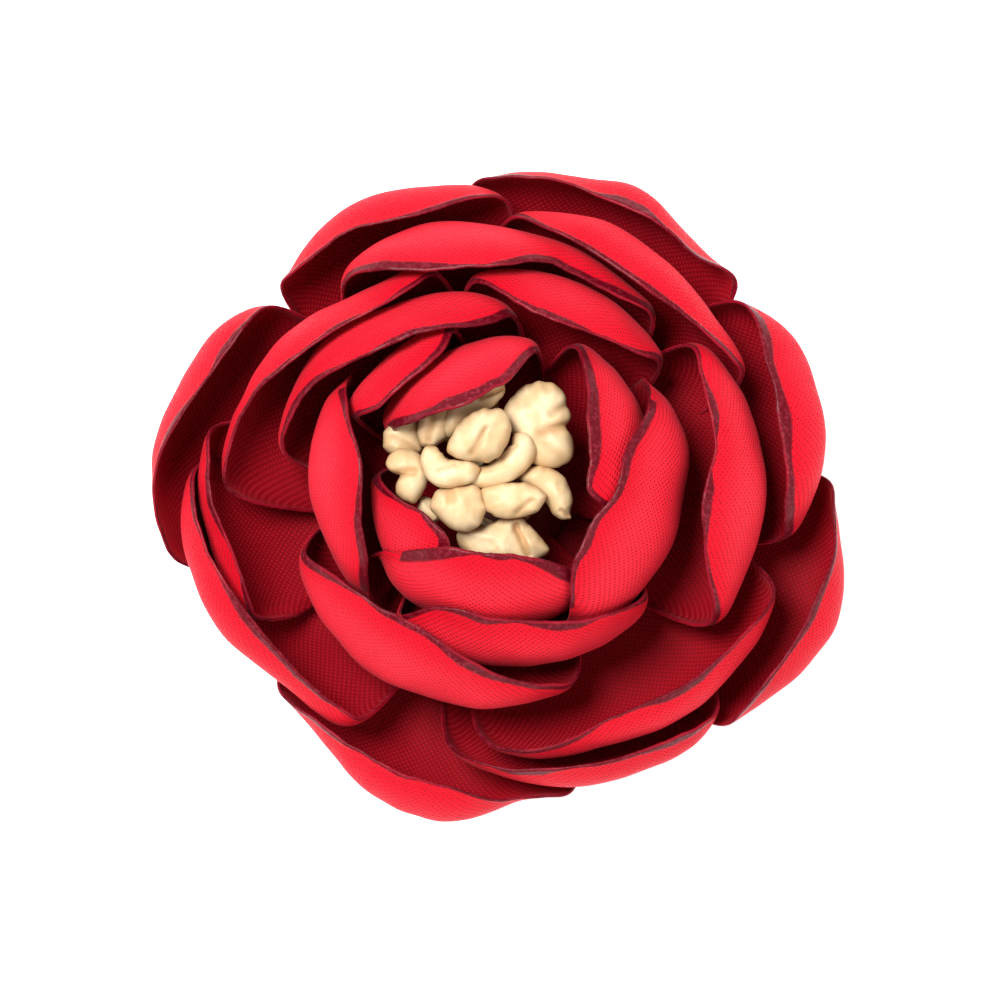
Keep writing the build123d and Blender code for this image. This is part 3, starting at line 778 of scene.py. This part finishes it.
def plasterMaterial():
    s = Shader("stamenPlaster")
    mottle = s.noise(420, 3)
    fine = s.noise(2600, 2)
    low = s.number("low")
    colour = s.mix(mottle.step(0.35, 0.7), plaster["cream"], plaster["pale"])
    # Painted shade on the lower side of each head.
    colour = s.mix(low * 0.75, colour, plaster["undersideShade"])
    # Painted shade in the creases.
    colour = s.mix(s.number("crease") * (0.45 + mottle * 0.5), colour, plaster["creaseShade"])
    relief = s.bump(mottle * 0.7 + fine * 0.15, 0.2, 0.2 * mm)
    return s.set(color=colour, roughness=0.42 + mottle * 0.15, normal=relief, subsurface=0.25,
                 scatter=0.9 * mm, specular=0.35, coat=0.06, coatRoughness=0.35)


stamenPlaster = plasterMaterial()
for number, name in enumerate(sorted(beads)):
    makeBead(name, number, stamenPlaster)
print("stamens made", len(beads))


felt = {
    "radius": 15 * mm,
    "thickness": 1.5 * mm,
    "round": 0.5 * mm,           # how far in from its cut edge the disc is rounded
    "edgeWander": 0.12 * mm,     # how far out of true the disc's edge is cut
    "dimples": 0.05 * mm,
    "stripThickness": 0.9 * mm,
    "stripLength": 10.02 * mm,   # the least length along the clip
    "stripRound": 0.35 * mm,
    "stripWander": 0.06 * mm,
    "stripDimples": 0.025 * mm,
    "inset": 0.1 * mm,           # between the strip's ends and the frame's strip
    "colour": (0.25, 0.004, 0.010),
    "deep": (0.12, 0.001, 0.004),
    "fibre": (0.42, 0.02, 0.03),
}


def rounding(gap, width, least):
    # Share of the full thickness at a distance from a rounded edge.
    return np.sqrt(np.clip(1 - (1 - np.clip(gap / width, 0, 1)) ** 2, least, 1))


def makeFeltDisc():
    # Rounded section swept round the disc, with an edge cut slightly out of true.
    half = felt["thickness"] / 2
    turns = np.linspace(0, 2 * math.pi, 241)[:-1]
    wander = Wave(811, 6 * mm).at(felt["radius"] * turns, 0) * np.sin(turns / 2) ** 0.5
    edge = (felt["radius"] - felt["edgeWander"] * (1 + wander))[:, None]
    shares = np.concatenate([np.linspace(0.0, 0.94, 30), np.linspace(0.955, 1, 8)])
    radius = edge * shares
    x = radius * np.cos(turns)[:, None]
    y = radius * np.sin(turns)[:, None]
    surface = np.abs(Wave(812, 5 * mm).at(x, y)) * felt["dimples"]
    rise = rounding(edge - radius, felt["round"], 0.05)
    thick = half * rise - surface * (rise > 0.9)
    tops = np.stack([x, y, half + thick], axis=-1).reshape(-1, 3)
    bottoms = np.stack([x, y, half - thick], axis=-1).reshape(-1, 3)

    # Quads in rings, with triangles at the middle and a strip round the edge.
    count = len(tops)
    index = np.arange(count).reshape(radius.shape)
    after = np.roll(index, -1, axis=0)
    quads = np.stack([index[:, 1:-1].ravel(), index[:, 2:].ravel(), after[:, 2:].ravel(),
                      after[:, 1:-1].ravel()], axis=1)
    faces = quads.tolist() + (quads[:, ::-1] + count).tolist()
    for one, two in zip(index, after):
        faces.append([index[0, 0], one[1], two[1]])
        faces.append([index[0, 0] + count, two[1] + count, one[1] + count])
        faces.append([one[-1], one[-1] + count, two[-1] + count, two[-1]])
    used = sorted({i for face in faces for i in face})
    place = {old: new for new, old in enumerate(used)}
    points = np.concatenate([tops, bottoms])[used]
    piece = newMesh("feltDisc", points, [[place[i] for i in face] for face in faces])
    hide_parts("felt_backing")
    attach(piece, flowerBody)
    return piece


def stripSection(reach, flat, plate):
    # Half the strip's section, from its end on the felt up over the plate, then mirrored.
    corners = [(-reach, flat), (-reach * 0.75, flat), (-6.1 * mm, flat),
               (-5.0 * mm, flat - 0.15 * mm), (-4.3 * mm, plate + 0.1 * mm),
               (-3.4 * mm, plate), (0, plate)]
    return smoothPath(corners + [(-y, z) for y, z in corners[-2::-1]], 121)


def makeFeltStrip():
    low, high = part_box("felt_strip")
    thick = felt["stripThickness"]
    reach = high.y
    section = stripSection(reach, -thick / 2, low.z + thick / 2)
    length = max(high.x - low.x, felt["stripLength"])
    runs = np.linspace(0, 1, 49)
    y = np.repeat(section[:, :1], len(runs), axis=1)
    z = np.repeat(section[:, 1:], len(runs), axis=1)
    cut = Wave(821, 4 * mm).at(section[:, 0], 0)[:, None] * felt["stripWander"]
    ends = np.sign(runs - 0.5) * np.abs(2 * runs - 1) ** 6
    x = low.x + felt["inset"] + (length - 2 * felt["inset"]) * runs + cut * ends
    gap = np.minimum(np.minimum(x - low.x, high.x - x), np.minimum(reach - y, y + reach))
    dimples = np.abs(Wave(822, 3 * mm).at(x, y)) * felt["stripDimples"]
    half = thick / 2 * 0.96 * rounding(gap, felt["stripRound"], 0.15) - dimples
    points = np.stack([x, y, z], axis=-1)
    piece = thickSheet("feltStrip", points, half, np.array([0, 0, -1.0]))
    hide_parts("felt_strip")
    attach(piece, flowerBody)
    return piece


def feltMaterial():
    s = Shader("feltCloth")
    fibres = s.noise(3200, 5, 0.7)
    clumps = s.noise(700, 3)
    colour = s.mix(clumps.step(0.3, 0.7), felt["deep"], felt["colour"])
    colour = s.mix(fibres.step(0.55, 0.75) * 0.5, colour, felt["fibre"])
    relief = s.bump(fibres * 0.8 + clumps * 0.5, 0.8, 0.2 * mm)
    return s.set(color=colour, roughness=0.85 + fibres * 0.1, normal=relief, sheen=0.35,
                 sheenTint=(1.0, 0.4, 0.42), specular=0.1)


feltCloth = feltMaterial()
for made in (makeFeltDisc(), makeFeltStrip()):
    made.data.materials.append(feltCloth)
print("felt made")


spring = {
    "wire": 0.55 * mm,
    "radius": 1.75 * mm,
    "turns": 3.405,
    "pitch": 0.62 * mm,
    "leg": 9.2 * mm,
    "start": math.radians(80.2),
    "middle": 0.9 * mm,          # half the length of coil at the middle, which on the real clip twists with the lever
    "colour": (0.42, 0.42, 0.44),
}


def springLine():
    hinge = next(joint for joint in frame["joints"] if joint["name"] == "jaw_hinge")
    centre = np.array(hinge["pos_m"], float)
    height = spring["turns"] * spring["pitch"]
    t = np.linspace(0, spring["turns"] * 2 * math.pi, 170)
    y = -height / 2 + height * t / t[-1]
    x = spring["radius"] * np.cos(t - spring["start"])
    z = spring["radius"] * np.sin(spring["start"] - t)
    coil = centre + np.stack([x, y, z], axis=1)
    first = coil[0] - coil[1]
    last = coil[-1] - coil[-2]
    out = np.linspace(0, 1, 30)[1:, None] * spring["leg"]
    before = coil[0] + first / np.linalg.norm(first) * out
    after = coil[-1] + last / np.linalg.norm(last) * out
    return np.concatenate([before[::-1], coil, after])


def wireAlong(name, line, radius, around=20):
    way = np.gradient(line, axis=0)
    way = way / np.linalg.norm(way, axis=1, keepdims=True)
    side = np.cross(way, np.array([0.0, 1.0, 0.02]))
    side = side / np.linalg.norm(side, axis=1, keepdims=True)
    other = np.cross(way, side)
    turns = np.linspace(0, 2 * math.pi, around, endpoint=False)
    ring = side[:, None] * np.cos(turns)[None, :, None] + other[:, None] * np.sin(turns)[None, :, None]
    points = (line[:, None] + ring * radius).reshape(-1, 3)
    return closedRings(name, points, len(line), around, flip=True)


def steelMaterial(name, tint, roughness, scale=(120, 4200, 4200)):
    s = Shader(name)
    stretched = s.node("ShaderNodeMapping", {}, {"Vector": s.place(), "Scale": scale})
    grain = s.noise(1, 4, 0.6, stretched)
    smear = s.noise(160, 3)
    spots = s.noise(900, 3).step(0.62, 0.75)
    colour = s.mix(smear.step(0.35, 0.7), tuple(c * 0.82 for c in tint), tint)
    colour = s.mix(spots * 0.25, colour, tuple(c * 0.5 for c in tint))
    relief = s.bump(grain, 0.08, 0.08 * mm)
    return s.set(color=colour, roughness=roughness + grain * 0.14 + smear * 0.06, normal=relief,
                 metallic=1.0)


wire = wireAlong("springWire", springLine(), spring["wire"] / 2)
wire.data.materials.append(steelMaterial("springSteel", spring["colour"], 0.25, (900, 900, 900)))
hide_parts("torsion_spring")
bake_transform(wire)
print("spring made")


finishes = {
    "thread": {"pale": (0.62, 0.50, 0.28), "deep": (0.34, 0.22, 0.09), "roughness": 0.7},
    "glue": {"pale": (0.20, 0.035, 0.020), "deep": (0.07, 0.006, 0.006), "roughness": 0.35},
    "film": {"pale": (0.80, 0.76, 0.66), "deep": (0.62, 0.55, 0.42), "roughness": 0.3},
    "steel": (0.62, 0.62, 0.63),
}


def threadMaterial():
    s = Shader("stalkThread")
    ply = s.node("ShaderNodeTexWave", {"bands_direction": "DIAGONAL"},
                 {"Vector": s.place(), "Scale": 900, "Distortion": 1.5, "Detail": 2})
    fuzz = s.noise(2200, 3)
    colour = s.mix(ply, finishes["thread"]["deep"], finishes["thread"]["pale"])
    relief = s.bump(ply * 0.7 + fuzz * 0.3, 0.5, 0.1 * mm)
    return s.set(color=colour, roughness=finishes["thread"]["roughness"] + fuzz * 0.15, normal=relief)


def glueMaterial(name, look):
    s = Shader(name)
    cloud = s.noise(300, 3)
    ripple = s.noise(120, 2)
    colour = s.mix(cloud.step(0.3, 0.75), look["deep"], look["pale"])
    relief = s.bump(ripple * 0.8 + cloud * 0.2, 0.3, 0.6 * mm)
    return s.set(color=colour, roughness=look["roughness"] + cloud * 0.15, normal=relief)


thread = threadMaterial()
clipSteel = steelMaterial("jawSteel", finishes["steel"], 0.20)
nodeFinishes = {
    "stamen_stalks": thread,
    "binding_thread": thread,
    "glue_core": glueMaterial("setGlue", finishes["glue"]),
    "clip_glue": glueMaterial("glueFilm", finishes["film"]),
    "fixed_jaw": clipSteel,
    "moving_jaw": clipSteel,
    "hinge_pin": steelMaterial("pinSteel", finishes["steel"], 0.15, (1500, 1500, 1500)),
}
for name, finish in nodeFinishes.items():
    nodes[name].data.materials.clear()
    nodes[name].data.materials.append(finish)
print("clip finished")


studio = {
    "cameraHeight": 450 * mm,    # above the flower's widest line
    "wideLine": 12 * mm,
    "lens": 192,
    "aimY": -0.84 * mm,
    "floorGlow": 0.42,
    "world": 0.55,
    "floorHalf": 3.0,
    "floorGap": 0.1 * mm,        # between the clip's lowest point and the floor
    "key": {"place": (-0.28, 0.26, 0.85), "size": 0.38, "power": 13.0},
    "fill": {"place": (0.55, -0.35, 0.75), "size": 0.9, "power": 3.5},
}


def addLight(name, look, aim):
    data = bpy.data.lights.new(name, "AREA")
    data.shape = "DISK"
    data.size = look["size"]
    data.energy = look["power"]
    light = bpy.data.objects.new(name, data)
    light.location = look["place"]
    way = Vector(aim) - Vector(look["place"])
    light.rotation_euler = way.to_track_quat("-Z", "Y").to_euler()
    bpy.context.scene.collection.objects.link(light)


def makeStudio():
    floorZ = boxLow.z - studio["floorGap"]
    wide = studio["floorHalf"]
    corners = [(-wide, -wide, floorZ), (wide, -wide, floorZ), (wide, wide, floorZ),
               (-wide, wide, floorZ)]
    floor = newMesh("floor", corners, [(0, 1, 2, 3)], smooth=False)
    s = Shader("paleFloor")
    tone = s.noise(3, 2)
    s.set(color=s.mix(tone, (0.93, 0.93, 0.93), (0.95, 0.95, 0.95)), roughness=0.9,
          specular=0.1, emission=(1.0, 1.0, 1.0), glow=studio["floorGlow"])
    floor.data.materials.append(s.material)

    flower = (0, 0, studio["wideLine"])
    addLight("keyLight", studio["key"], flower)
    addLight("fillLight", studio["fill"], flower)
    world = bpy.data.worlds.new("studio")
    world.use_nodes = True
    world.node_tree.nodes["Background"].inputs["Color"].default_value = (1, 1, 1, 1)
    world.node_tree.nodes["Background"].inputs["Strength"].default_value = studio["world"]
    bpy.context.scene.world = world

    camera = bpy.data.objects.new("camera", bpy.data.cameras.new("camera"))
    camera.data.lens = studio["lens"]
    camera.data.clip_start = 0.01
    camera.location = (0, studio["aimY"], studio["wideLine"] + studio["cameraHeight"])
    bpy.context.scene.collection.objects.link(camera)
    bpy.context.scene.camera = camera
    bpy.context.scene.view_settings.view_transform = "Standard"


makeStudio()
print("studio made")
